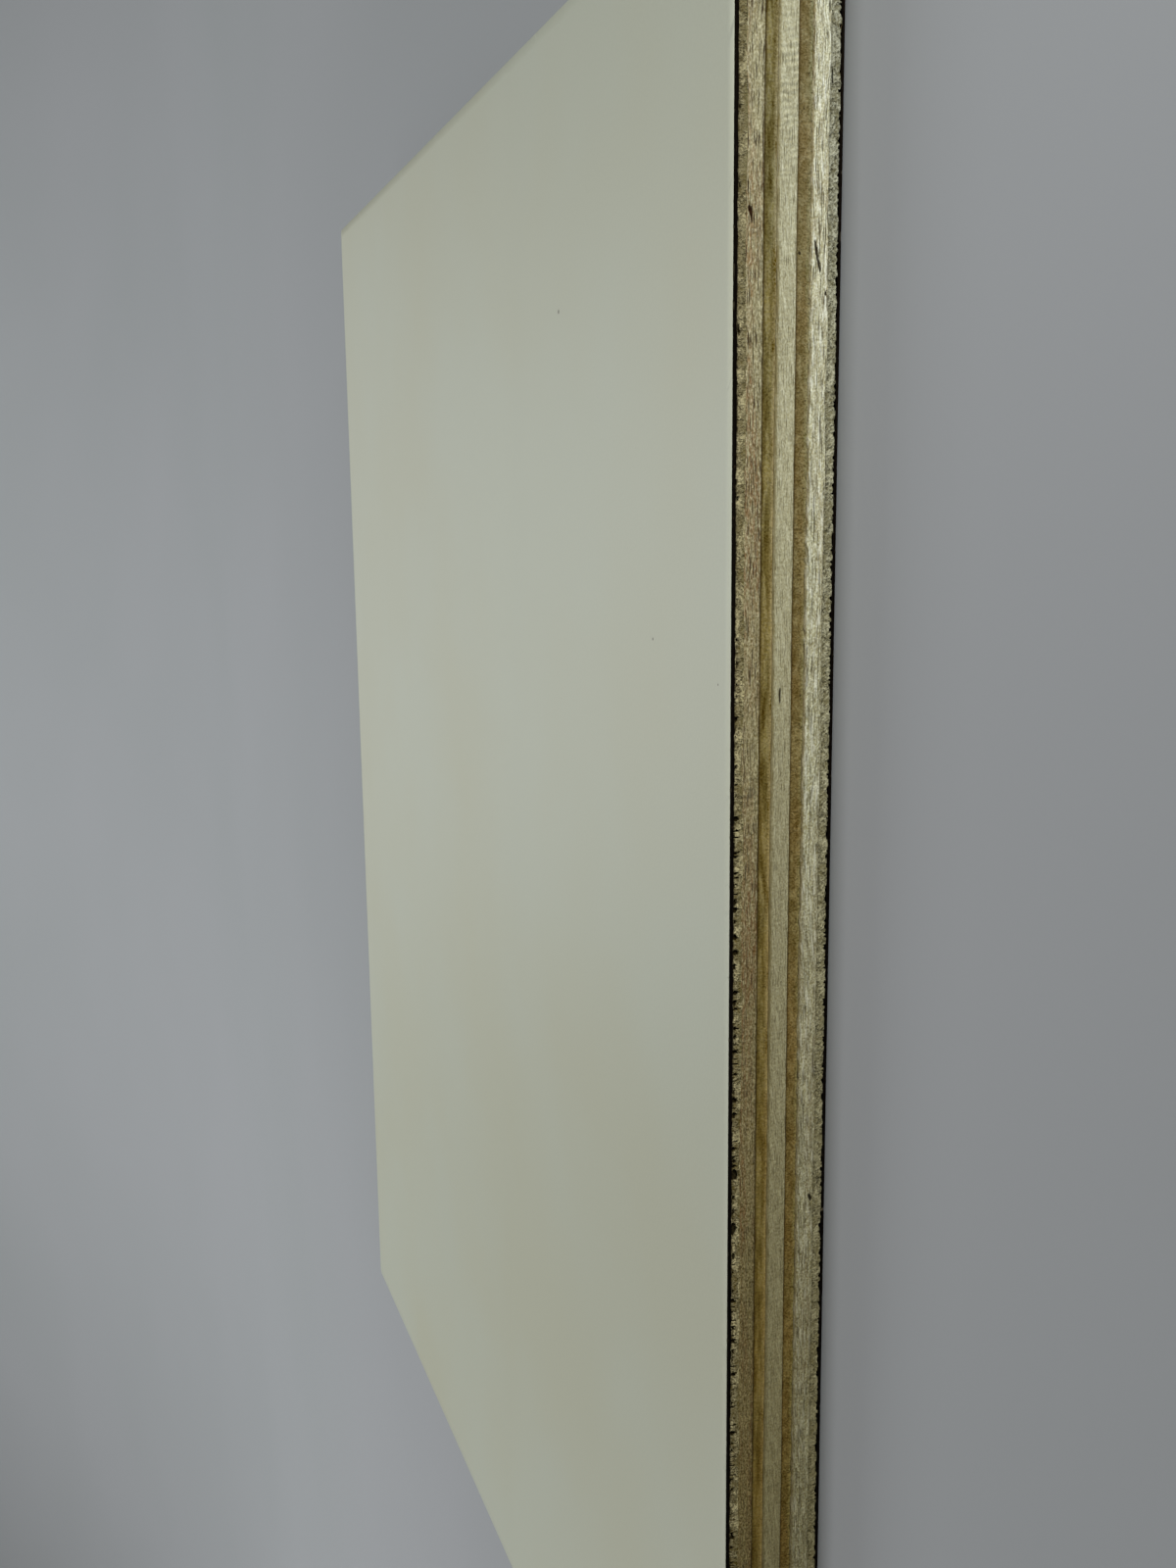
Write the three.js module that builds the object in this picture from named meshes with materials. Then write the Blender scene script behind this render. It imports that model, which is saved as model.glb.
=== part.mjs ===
// A cut panel of laminate-faced plywood, lying on its back face.
//
// Seven veneers, each with its fibres square to its neighbours', are bonded between two hard laminate sheets.
// All layers share the panel's outline, but the cut edges are not flush: where a veneer's fibres run along an
// edge it stands proud with rounded arrises, and where they run out through the edge it is worn hollow, deepest
// against its neighbour in front.
//
// Millimetres. +X runs along the panel, +Y across it and +Z up through its thickness.
// The origin is the middle of the back face.

import * as THREE from 'three';

// ---------------------------------------------------------------------------------------------------------
// Driving dimensions
// ---------------------------------------------------------------------------------------------------------

const PANEL_LENGTH = 310;
const PANEL_WIDTH = 254;
const CORNER_RADIUS = 1.2; // the four upright corners are eased

const BACK_LAMINATE = 0.55; // thickness of each layer, from the back to the front
const BACK_FACE_PLY = 1.2;
const BACK_LONG_PLY = 2.7;
const BACK_CROSS_PLY = 1.8;
const CENTRE_PLY = 2.7;
const FRONT_CROSS_PLY = 1.9;
const FRONT_LONG_PLY = 2.3;
const FRONT_FACE_PLY = 1.2;
const FRONT_LAMINATE = 0.65;

const LAMINATE_ARRIS = 0.08; // bevel round the outer edge of each laminate
const CRISP_ARRIS = 0.08; // radius of a veneer's arrises where its fibres run along the edge
const SOFT_ARRIS = 0.45; // reach of the front one beside an inner veneer, down to the depth of its end grain
const CORE_SET_BACK = 0.28; // how far an inner veneer's end grain stands back behind the laminates
const CORE_HOLLOW = 0.16; // how much deeper it is at its front
const FACE_SET_BACK = 0.04; // the same two for the outer veneers, which the laminates protect
const FACE_HOLLOW = 0.1;
const HOLLOW_REACH = 0.8; // share of the thickness over which a hollow deepens

const CORNER_SEGMENTS = 4; // facets in each upright corner
const ARRIS_SEGMENTS = 3; // facets in each rounded arris
const HOLLOW_SEGMENTS = 4; // facets across each hollow, between the arrises

// ---------------------------------------------------------------------------------------------------------
// Layers, from the back up
// ---------------------------------------------------------------------------------------------------------

const LAYERS = [
  { name: 'back_laminate', thickness: BACK_LAMINATE, kind: 'laminate', outerFace: 'below', color: 0xa3a698 },
  { name: 'back_face_ply', thickness: BACK_FACE_PLY, kind: 'outer veneer', fibres: 'y', color: 0x7e7b62 },
  { name: 'back_long_ply', thickness: BACK_LONG_PLY, kind: 'core veneer', fibres: 'x', color: 0xb3b098 },
  { name: 'back_cross_ply', thickness: BACK_CROSS_PLY, kind: 'core veneer', fibres: 'y', color: 0x756544 },
  { name: 'centre_ply', thickness: CENTRE_PLY, kind: 'core veneer', fibres: 'x', color: 0xa9a585 },
  { name: 'front_cross_ply', thickness: FRONT_CROSS_PLY, kind: 'core veneer', fibres: 'y', color: 0x7d6d42 },
  { name: 'front_long_ply', thickness: FRONT_LONG_PLY, kind: 'core veneer', fibres: 'x', color: 0x8f7d60 },
  { name: 'front_face_ply', thickness: FRONT_FACE_PLY, kind: 'outer veneer', fibres: 'y', color: 0x77704f },
  { name: 'front_laminate', thickness: FRONT_LAMINATE, kind: 'laminate', outerFace: 'above', color: 0xa3a698 },
];

// The planes between layers are kept on a grid of 1/256 mm, where sums and differences have no rounding, so
// that each layer's top and the next one's bottom are exactly the same plane.
const onGrid = (mm) => Math.round(mm * 256) / 256;

// ---------------------------------------------------------------------------------------------------------
// Edge profiles: how far the edge lies inside the panel's outline, at a height above the layer's bottom
// ---------------------------------------------------------------------------------------------------------

/** Whether the veneer in front is an inner one, whose end grain is worn away beside this one's front arris. */
const wornInFront = (layer) => LAYERS[LAYERS.indexOf(layer) + 1].kind === 'core veneer';

/** A veneer's two arrises: reach along the edge, as far as its thickness has room, and depth at the face. */
function arrises(layer, thickness) {
  const crisp = { reach: Math.min(CRISP_ARRIS, thickness / 3), depth: CRISP_ARRIS };
  const soft = { reach: Math.min(SOFT_ARRIS, thickness / 3), depth: CORE_SET_BACK };
  return { back: crisp, front: wornInFront(layer) ? soft : crisp };
}

/** Inset of a rounded arris, a quarter of an ellipse, at a distance from the face that it meets. */
function roundInset({ reach, depth }, fromFace) {
  const rise = 1 - Math.min(fromFace / reach, 1);
  return depth * (1 - Math.sqrt(1 - rise * rise));
}

/** Proud edge: flush with the outline, and rounded at both faces. */
function longGrainInset(layer, thickness, height) {
  const { back, front } = arrises(layer, thickness);
  return roundInset(back, height) + roundInset(front, thickness - height);
}

/** Hollow edge: set back all over, and eased deeper towards the front. */
function endGrainInset(thickness, height, setBack, hollow) {
  return setBack + hollow * THREE.MathUtils.smoothstep(height / thickness, 0, HOLLOW_REACH);
}

/** Insets of a veneer's edges: x at the two ends of the panel, y at its two long sides. */
function veneerInsets(layer, thickness, height) {
  const [setBack, hollow] =
    layer.kind === 'outer veneer' ? [FACE_SET_BACK, FACE_HOLLOW] : [CORE_SET_BACK, CORE_HOLLOW];
  const proud = longGrainInset(layer, thickness, height);
  const worn = endGrainInset(thickness, height, setBack, hollow);
  return layer.fibres === 'x' ? { x: worn, y: proud } : { x: proud, y: worn };
}

/** Distances from the face that a rounded arris meets, at even angles round it. */
function roundSteps(reach) {
  return Array.from({ length: ARRIS_SEGMENTS }, (_, i) => {
    const angle = ((i / ARRIS_SEGMENTS) * Math.PI) / 2;
    return reach * (1 - Math.cos(angle));
  });
}

/** Heights of a veneer's rings: round each arris, and even steps between them. */
function veneerHeights(layer, thickness) {
  const { back, front } = arrises(layer, thickness);
  const flatHeights = Array.from({ length: HOLLOW_SEGMENTS + 1 }, (_, i) =>
    THREE.MathUtils.lerp(back.reach, thickness - front.reach, i / HOLLOW_SEGMENTS),
  );
  const frontRound = roundSteps(front.reach).map((fromFront) => thickness - fromFront);
  return [...roundSteps(back.reach), ...flatHeights, ...frontRound.reverse()];
}

/** Rings of a veneer, from its bottom face to its top face. */
function veneerRings(layer, thickness) {
  const heights = veneerHeights(layer, thickness);
  return heights.map((height) => ({ height, inset: veneerInsets(layer, thickness, height) }));
}

/** Rings of a laminate: straight edges, with a bevel at the face that shows. */
function laminateRings(layer, thickness) {
  const square = { x: 0, y: 0 };
  const bevelled = { x: LAMINATE_ARRIS, y: LAMINATE_ARRIS };
  if (layer.outerFace === 'above') {
    return [
      { height: 0, inset: square },
      { height: thickness - LAMINATE_ARRIS, inset: square },
      { height: thickness, inset: bevelled },
    ];
  }
  return [
    { height: 0, inset: bevelled },
    { height: LAMINATE_ARRIS, inset: square },
    { height: thickness, inset: square },
  ];
}

// ---------------------------------------------------------------------------------------------------------
// Solids
// ---------------------------------------------------------------------------------------------------------

/** The panel's outline drawn in by an inset, anticlockwise: four quarter-round corners joined by straights. */
function outlinePoints(inset) {
  const cornerX = PANEL_LENGTH / 2 - CORNER_RADIUS - inset.x;
  const cornerY = PANEL_WIDTH / 2 - CORNER_RADIUS - inset.y;
  const corners = [
    { x: cornerX, y: cornerY, start: 0 },
    { x: -cornerX, y: cornerY, start: Math.PI / 2 },
    { x: -cornerX, y: -cornerY, start: Math.PI },
    { x: cornerX, y: -cornerY, start: 1.5 * Math.PI },
  ];
  return corners.flatMap(({ x, y, start }) => {
    const arc = new THREE.ArcCurve(x, y, CORNER_RADIUS, start, start + Math.PI / 2, false);
    return arc.getPoints(CORNER_SEGMENTS);
  });
}

/** A closed solid lofted through rings of equal point count, capped at the first and the last. */
function loft(rings) {
  const outlines = rings.map(({ inset }) => outlinePoints(inset));
  const count = outlines[0].length;
  const positions = outlines.flatMap((outline, level) =>
    outline.flatMap((point) => [point.x, point.y, rings[level].height]),
  );
  const index = [];
  for (let level = 0; level < rings.length - 1; level++) {
    for (let i = 0; i < count; i++) {
      const next = (i + 1) % count;
      const [low, lowNext] = [level * count + i, level * count + next];
      const [high, highNext] = [low + count, lowNext + count];
      index.push(low, lowNext, highNext, low, highNext, high);
    }
  }
  const top = (rings.length - 1) * count;
  for (const [a, b, c] of THREE.ShapeUtils.triangulateShape(outlines[0], [])) index.push(c, b, a);
  for (const [a, b, c] of THREE.ShapeUtils.triangulateShape(outlines.at(-1), [])) {
    index.push(top + a, top + b, top + c);
  }
  const geometry = new THREE.BufferGeometry();
  geometry.setAttribute('position', new THREE.Float32BufferAttribute(positions, 3));
  geometry.setIndex(index);
  geometry.computeVertexNormals();
  return geometry;
}

/** One layer as a named mesh between two planes of the panel. */
function layerMesh(layer, bottom, top) {
  const thickness = top - bottom;
  const rings = layer.kind === 'laminate' ? laminateRings(layer, thickness) : veneerRings(layer, thickness);
  const material = new THREE.MeshStandardMaterial({
    color: layer.color,
    roughness: layer.kind === 'laminate' ? 0.55 : 0.85,
    metalness: 0,
  });
  const mesh = new THREE.Mesh(loft(rings), material);
  mesh.name = layer.name;
  mesh.position.z = bottom;
  return mesh;
}

// ---------------------------------------------------------------------------------------------------------
// Panel: each layer lies on the one before
// ---------------------------------------------------------------------------------------------------------

const panel = new THREE.Group();
let bottom = 0;
for (const layer of LAYERS) {
  const top = bottom + layer.thickness;
  panel.add(layerMesh(layer, onGrid(bottom), onGrid(top)));
  bottom = top;
}

export default panel;
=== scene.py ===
"""A cut panel of laminate-faced plywood, lying on its back face on a pale studio floor.

Nine bonded layers stand where the frame's solids are: seven veneers with crossed fibres between two
laminates. Lengths are millimetres until a mesh is made. +X runs along the panel, +Y across it and +Z out of
its front face, so the near side is at -Y, the far side at +Y, and the two ends at -X and +X.
"""

from types import SimpleNamespace

import bpy
import numpy as np
from mathutils import Matrix, Vector


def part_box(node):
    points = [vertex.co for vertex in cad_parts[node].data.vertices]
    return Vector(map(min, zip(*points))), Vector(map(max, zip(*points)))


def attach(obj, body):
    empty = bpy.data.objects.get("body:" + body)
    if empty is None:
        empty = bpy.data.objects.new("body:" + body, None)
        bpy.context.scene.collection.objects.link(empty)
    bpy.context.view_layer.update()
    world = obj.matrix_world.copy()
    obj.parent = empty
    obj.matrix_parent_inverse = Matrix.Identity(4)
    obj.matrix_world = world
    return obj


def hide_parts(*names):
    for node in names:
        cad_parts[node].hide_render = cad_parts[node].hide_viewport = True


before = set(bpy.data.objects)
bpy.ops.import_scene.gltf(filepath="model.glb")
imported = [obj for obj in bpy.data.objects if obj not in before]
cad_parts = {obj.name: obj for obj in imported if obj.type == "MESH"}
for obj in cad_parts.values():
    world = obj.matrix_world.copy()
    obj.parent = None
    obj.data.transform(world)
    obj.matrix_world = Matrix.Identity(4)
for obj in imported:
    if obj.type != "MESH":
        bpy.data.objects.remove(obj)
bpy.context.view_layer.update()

MM = 0.001  # metres in a millimetre

# ---------------- Sizes ----------------

HALF_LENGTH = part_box("front_laminate")[1].x / MM
HALF_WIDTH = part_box("front_laminate")[1].y / MM
PANEL_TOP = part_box("front_laminate")[1].z / MM
CORNER_RADIUS = 1.2  # as the solids' four upright corners

STRAIGHT_X = 2 * (HALF_LENGTH - CORNER_RADIUS)  # the near and far sides between their corners
STRAIGHT_Y = 2 * (HALF_WIDTH - CORNER_RADIUS)  # the two ends
QUARTER = np.pi / 2 * CORNER_RADIUS
PERIMETER = 2 * (STRAIGHT_X + STRAIGHT_Y) + 4 * QUARTER

LAMINATE_ARRIS = 0.06  # bevel at the face that shows
CRISP_ARRIS = 0.06  # radius of a veneer's arrises where its fibres run along the edge
SOFT_ARRIS = 0.5  # reach of the front one beside an inner veneer's worn end grain
SOFT_DEPTH = 0.28  # and its depth at that neighbour
HOLLOW_REACH = 0.8  # share of the thickness over which a hollow deepens

LAYERS_FROM_BACK = (
    "back_laminate",
    "back_face_ply",
    "back_long_ply",
    "back_cross_ply",
    "centre_ply",
    "front_cross_ply",
    "front_long_ply",
    "front_face_ply",
    "front_laminate",
)

# Columns of a layer's mesh: round each corner, and on each straight. The crumbled long sides have more.
CORNER_COLUMNS = 16
LONG_GRAIN_COLUMNS = {"near": 1280, "far": 512, "ends": 640}
END_GRAIN_COLUMNS = {"near": 1792, "far": 768, "ends": 512}

# Random seeds, to which each seam and each layer adds its own number from the back
SEAM_SEED = 900
VENEER_SEED = 100
LAMINATE_SEED = 300

# ---------------- Number fields ----------------


def ease(t):
    """The ease curve 3t^2 - 2t^3, held at 0 below 0 and at 1 above 1."""
    t = np.clip(t, 0, 1)
    return t * t * (3 - 2 * t)


def mottle(rng, s, h, cell):
    """Smooth noise from -1 to 1: a random height at each corner of a lattice, blended with the ease curve.

    s is the way round the panel, and the lattice closes on itself there. h is the height in the layer, and
    cell is the lattice's spacing along each.
    """
    columns = max(4, round(PERIMETER / cell[0]))
    u = s / PERIMETER * columns
    v = (h - np.min(h)) / cell[1]
    i, j = np.floor(u).astype(int), np.floor(v).astype(int)
    blend_s, blend_h = ease(u - i), ease(v - j)
    heights = rng.uniform(-1, 1, (columns, int(j.max()) + 2))
    here, onward = i % columns, (i + 1) % columns
    low = heights[here, j] * (1 - blend_s) + heights[onward, j] * blend_s
    high = heights[here, j + 1] * (1 - blend_s) + heights[onward, j + 1] * blend_s
    return low * (1 - blend_h) + high * blend_h


def waver(rng, s, cell):
    """Mottle that is the same at every height."""
    return mottle(rng, s, np.zeros_like(s), (cell, 1))


def spots(noise, above, fade):
    """0 where the noise is under above, rising to 1 over fade: a few separate spots from a whole field."""
    return ease((noise - above) / fade)


# ---------------- Outline and seams ----------------


def outline(near, far, ends):
    """The panel's outline as columns of a mesh: four straights, each followed by a quarter circle.

    It runs anticlockwise from the near side's -X end. near, far and ends are the columns on each straight.
    Gives places x and y, the outward normal nx and ny, and the way round s.
    """
    cx, cy = HALF_LENGTH - CORNER_RADIUS, HALF_WIDTH - CORNER_RADIUS
    parts = []
    way = 0.0
    for columns, length, start, turn in (
        (near, STRAIGHT_X, (-cx, -cy), -90),
        (ends, STRAIGHT_Y, (cx, -cy), 0),
        (far, STRAIGHT_X, (cx, cy), 90),
        (ends, STRAIGHT_Y, (-cx, cy), 180),
    ):
        angle = np.radians(turn)
        normal = np.array([np.cos(angle), np.sin(angle)])
        along = np.array([-normal[1], normal[0]])
        t = np.linspace(0, length, columns, endpoint=False)
        place = np.array(start) + CORNER_RADIUS * normal + t[:, None] * along
        parts.append((place, np.broadcast_to(normal, place.shape), way + t))
        way += length
        t = np.linspace(0, 1, CORNER_COLUMNS, endpoint=False)
        around = angle + t * np.pi / 2
        normals = np.stack([np.cos(around), np.sin(around)], 1)
        centre = np.array(start) + length * along
        parts.append((centre + CORNER_RADIUS * normals, normals, way + t * QUARTER))
        way += QUARTER
    places, normals, ways = (np.concatenate(p) for p in zip(*parts))
    return SimpleNamespace(x=places[:, 0], y=places[:, 1], nx=normals[:, 0], ny=normals[:, 1], s=ways)


def near_side(x):
    """The way round at a place x on the near side."""
    return x + STRAIGHT_X / 2


# How each inner seam strays from its plane, from the back: a slow wander and a quick one, each with its
# reach and its cell, a lean in Z for each millimetre of X, and how far the whole seam sits above the plane.
SEAMS = (
    (0.02, 9, 0.07, 0.55, 0.0, -0.13),
    (0.12, 9, 0.05, 1.4, 0.0, 0.0),
    (0.07, 7, 0.09, 0.8, -0.0016, 0.0),
    (0.04, 12, 0.02, 2.0, 0.0, -0.04),
    (0.06, 16, 0.03, 2.5, 0.0, 0.0),
    (0.03, 18, 0.03, 1.6, 0.0, -0.03),
    (0.2, 11, 0.08, 1.3, 0.0, 0.0),
    (0.02, 9, 0.06, 0.6, 0.0, 0.0),
)


def seam_height(index, path):
    """Height of the seam under layer index along the outline."""
    if index == 0:
        return np.zeros_like(path.s)
    if index == len(LAYERS_FROM_BACK):
        return np.full_like(path.s, PANEL_TOP)
    slow, slow_cell, quick, quick_cell, lean, shift = SEAMS[index - 1]
    rng = np.random.default_rng(SEAM_SEED + index)
    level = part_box(LAYERS_FROM_BACK[index])[0].z / MM + shift
    wander = slow * waver(rng, path.s, slow_cell) + quick * waver(rng, path.s, quick_cell)
    return level + lean * path.x + wander


# ---------------- Relief of the edges ----------------

# Along the fibres. Each cell is a length along the edge and a height up it.
RIDGE_CELL = (5.0, 0.3)
FINE_RIDGE_CELL = (1.6, 0.2)
ARRIS_WANDER = 0.05  # how far a front arris strays, so that it is ragged
ARRIS_WANDER_CELL = (1.1, 3)
SPLINTER_CELL = (3.2, 0.24)
SPLINTER_DEPTH = 0.25
LONG_SWELL_CELL = (24, 1.4)
SWELL_DEPTH = 0.02

# Where they run out
COARSE_CELL = (1.1, 0.7)
CRUMB_CELL = (0.5, 0.4)
PIT_CELL = (0.7, 0.5)
PIT_DEPTH = 0.35
ROW_PIT_DEPTH = 0.5
ROW_PIT_BLUNTNESS = 1.5  # 1 draws a pit of the row to a point, and more rounds it
END_SWELL_CELL = (18, 1.6)

# Of a laminate's sawn edge
CHIP_CELL = 0.9  # along the edge
CHIP_DEPTH = 0.06
SAW_MARK_CELL = (0.5, 0.3)
SAW_MARK_DEPTH = 0.03


def rounded(reach, depth, from_face):
    """Depth of a rounded arris, a quarter of an ellipse, at a distance from the face that it meets."""
    rise = 1 - np.clip(from_face / reach, 0, 1)
    return depth * (1 - np.sqrt(1 - rise**2))


def long_grain(rng, s, h, thickness, drift, look):
    """An edge along the fibres: ridges of fibre, a crisp back arris, a ragged front one and torn splinters.

    Gives the depth under the outline, the tone from -1 to 1, and how torn each place is.
    """
    drifted = h + drift
    ridges = 0.6 * mottle(rng, s, drifted, RIDGE_CELL) + 0.4 * mottle(rng, s, drifted, FINE_RIDGE_CELL)
    from_front = np.maximum(thickness - h + ARRIS_WANDER * mottle(rng, s, h, ARRIS_WANDER_CELL), 0)
    reach, arris_depth = (SOFT_ARRIS, SOFT_DEPTH) if look.soft_front else (CRISP_ARRIS, CRISP_ARRIS)
    arrises = rounded(reach, arris_depth, from_front) + rounded(CRISP_ARRIS, CRISP_ARRIS, h)
    torn = look.splinters * spots(mottle(rng, s, drifted, SPLINTER_CELL), 0.68, 0.2)
    swell = mottle(rng, s, h, LONG_SWELL_CELL)
    ridge_depth = look.ridge * (0.5 + 0.5 * ridges)
    depth = ridge_depth + arrises + SPLINTER_DEPTH * torn + SWELL_DEPTH * (1 + swell)
    tone = 0.6 * ridges + 0.4 * swell
    return depth, tone, torn


def end_grain(rng, s, h, thickness, crowding, look):
    """An edge where the fibres run out: worn hollow, crumbled and pitted.

    The hollow is deepest against the neighbour in front. A row of pits runs beside the seam in front, or
    beside the one behind: a pit stands where a noise crosses its middle, it narrows away from the row's own
    middle, and crowding sets how many there are and how far they reach. Gives the same three fields as
    long_grain.
    """
    hollow = look.set_back + look.hollow * ease(h / thickness / HOLLOW_REACH)
    coarse = mottle(rng, s, h, COARSE_CELL)
    crumbs = mottle(rng, s, h, CRUMB_CELL)
    pits = look.pits * spots(mottle(rng, s, h, PIT_CELL), 0.7, 0.2)
    from_seam = h if look.row_behind else thickness - h
    beside = np.abs(waver(rng, s, look.row_cell)) / look.row_width
    length = np.clip(crowding + 0.7 * waver(rng, s, 1.3 * look.row_cell), 0, 1)
    off_row = np.abs(from_seam + 0.06 * coarse + 0.04 * crumbs - look.row_middle) / look.row_reach
    row_pits = look.pit_row * spots(length * (1 - beside**ROW_PIT_BLUNTNESS) - off_row, -0.05, 0.15)
    swell = mottle(rng, s, h, END_SWELL_CELL)
    crumb_depth = look.crumb * (1 + 0.5 * crumbs + 0.5 * coarse)
    depth = hollow + crumb_depth + np.maximum(PIT_DEPTH * pits, ROW_PIT_DEPTH * row_pits)
    tone = 0.35 * crumbs + 0.4 * coarse + 0.35 * swell
    return depth, tone, np.maximum(pits, row_pits)


# ---------------- Meshes ----------------

CAP_SCALES = (0.987, 0.94, 0.74)  # rings that close a face, as shares of its outline
CAP_STEP = 4  # each has a quarter of the columns of the one outside it
STRIP_GAP = 0.08  # share of a strip of the map that stays free at each side
SHARP_ANGLE = 60  # degrees past which an arris is shaded sharp


def set_out(name, data):
    """A new object in the scene."""
    thing = bpy.data.objects.new(name, data)
    bpy.context.scene.collection.objects.link(thing)
    return thing


def band_faces(rows, columns):
    """Quads between neighbouring rows of a band that closes on itself, one row after another."""
    row, column = np.divmod(np.arange((rows - 1) * columns), columns)
    onward = (column + 1) % columns
    corners = ((row, column), (row, onward), (row + 1, onward), (row + 1, column))
    return np.stack([at_row * columns + at_column for at_row, at_column in corners], 1)


def fitted(places, area):
    """Places from 0 to 1 moved into the area (low u, low v, high u, high v)."""
    low, high = np.array(area[:2]), np.array(area[2:])
    return low + places * (high - low)


def band_places(rows, columns, strips, area):
    """Where band_faces lie on the map: the way round is cut into strips, stacked in the area."""
    row, column = np.divmod(np.arange((rows - 1) * columns), columns)
    per_strip = -(-columns // strips)
    strip, along = np.divmod(column, per_strip)
    left, right = along / per_strip, (along + 1) / per_strip
    filled = 1 - 2 * STRIP_GAP
    low, high = ((strip + STRIP_GAP + filled * edge / (rows - 1)) / strips for edge in (row, row + 1))
    u = np.stack([left, right, right, left], 1)
    v = np.stack([low, low, high, high], 1)
    return fitted(np.stack([u, v], 2), area)


def face_places(corners, area):
    """Where faces that lie flat go on the map: seen from above, with the whole panel fitted to the area."""
    return fitted(corners[:, :, :2] / (2 * HALF_LENGTH, 2 * HALF_WIDTH) + 0.5, area)


def cap(ring, first, level, start):
    """Closes a ring of points with rings drawn towards the middle, each with a quarter of the columns.

    first holds the ring's vertex numbers, level is the height of the rings inside, and start is the number
    of the first new vertex. Gives the new points and arrays of faces of one size, anticlockwise from above.
    """
    points, faces = [], []
    outer, numbers = ring, first
    for scale in CAP_SCALES:
        inner = ring[:: len(ring) // (len(outer) // CAP_STEP)] * (scale, scale, 1)
        inner[:, 2] = level
        inner_numbers = start + np.arange(len(inner))
        start += len(inner)
        outer_run = [numbers.reshape(-1, CAP_STEP)[:, k] for k in range(CAP_STEP)]
        outer_run.append(np.roll(outer_run[0], -1))
        faces.append(np.stack([*outer_run, np.roll(inner_numbers, -1), inner_numbers], 1))
        points.append(inner)
        outer, numbers = inner, inner_numbers
    faces.append(numbers[None, :])
    return np.concatenate(points), faces


def layer_mesh(name, points, faces, slots, maps):
    """A mesh from its points, in millimetres, and arrays of faces of one size each, with slots and maps."""
    corners = np.concatenate([group.ravel() for group in faces])
    sizes = np.concatenate([np.full(len(group), group.shape[1]) for group in faces])
    places = np.concatenate([corner_places.reshape(-1, 2) for corner_places in maps])
    mesh = bpy.data.meshes.new(name)
    mesh.vertices.add(len(points))
    mesh.vertices.foreach_set("co", (points * MM).astype(np.float32).ravel())
    mesh.loops.add(len(corners))
    mesh.loops.foreach_set("vertex_index", corners.astype(np.int32))
    mesh.polygons.add(len(sizes))
    mesh.polygons.foreach_set("loop_start", (np.cumsum(sizes) - sizes).astype(np.int32))
    mesh.polygons.foreach_set("material_index", np.concatenate(slots).astype(np.int32))
    mesh.update(calc_edges=True)
    mesh.polygons.foreach_set("use_smooth", np.ones(len(sizes), bool))
    mesh.set_sharp_from_angle(angle=np.radians(SHARP_ANGLE))
    mesh.uv_layers.new(name="OFBake").data.foreach_set("uv", places.astype(np.float32).ravel())
    return mesh


def layer_object(name, node, grid, fields, strips, areas, slots_up, finishes):
    """One layer as an object: a band of vertex rows round its edge, closed by a cap below and one above.

    grid is rows by columns by 3, in millimetres, and the node's box gives the caps' levels. fields are the
    mesh's attributes, one number for each band vertex. areas are the map's, for the band and the two caps.
    slots_up gives the finish of the lower cap, of each step between rows, and of the upper cap.
    """
    rows, columns = grid.shape[:2]
    numbers = np.arange(rows * columns).reshape(rows, columns)
    bottom, top = (corner.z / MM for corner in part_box(node))
    below, lower_faces = cap(grid[0], numbers[0], bottom, rows * columns)
    above, upper_faces = cap(grid[-1], numbers[-1], top, rows * columns + len(below))
    lower_faces = [group[:, ::-1] for group in lower_faces]
    points = np.concatenate([grid.reshape(-1, 3), below, above])

    faces = [band_faces(rows, columns)]
    maps = [band_places(rows, columns, strips, areas[0])]
    slots = [np.repeat(slots_up[1:-1], columns)]
    caps = ((lower_faces, areas[1], slots_up[0]), (upper_faces, areas[2], slots_up[-1]))
    for cap_faces, area, slot in caps:
        faces += cap_faces
        maps += [face_places(points[group], area) for group in cap_faces]
        slots += [np.full(len(group), slot) for group in cap_faces]

    mesh = layer_mesh(name, points, faces, slots, maps)
    for field, values in fields.items():
        whole = np.zeros(len(points), np.float32)
        whole[: values.size] = values.ravel()
        mesh.attributes.new(field, "FLOAT", "POINT").data.foreach_set("value", whole)
    mesh.validate()
    for finish in finishes:
        mesh.materials.append(finish)
    return set_out(name, mesh)


# ---------------- Finishes ----------------

WHITE = (1.0, 1.0, 1.0)
BROWNING = (1.0, 1.12, 1.55)  # how much more a dark grain takes from green and blue than from red
CHANGE_X = (-0.06, 0.12)  # places in x, in metres, between which a look changes along the panel


def paint(code):
    """A colour written as six hex digits, as the linear numbers a shader takes."""
    shown = np.array([int(code[i : i + 2], 16) for i in (0, 2, 4)]) / 255
    linear = np.where(shown <= 0.04045, shown / 12.92, ((shown + 0.055) / 1.055) ** 2.4)
    return (*map(float, linear), 1.0)


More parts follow.
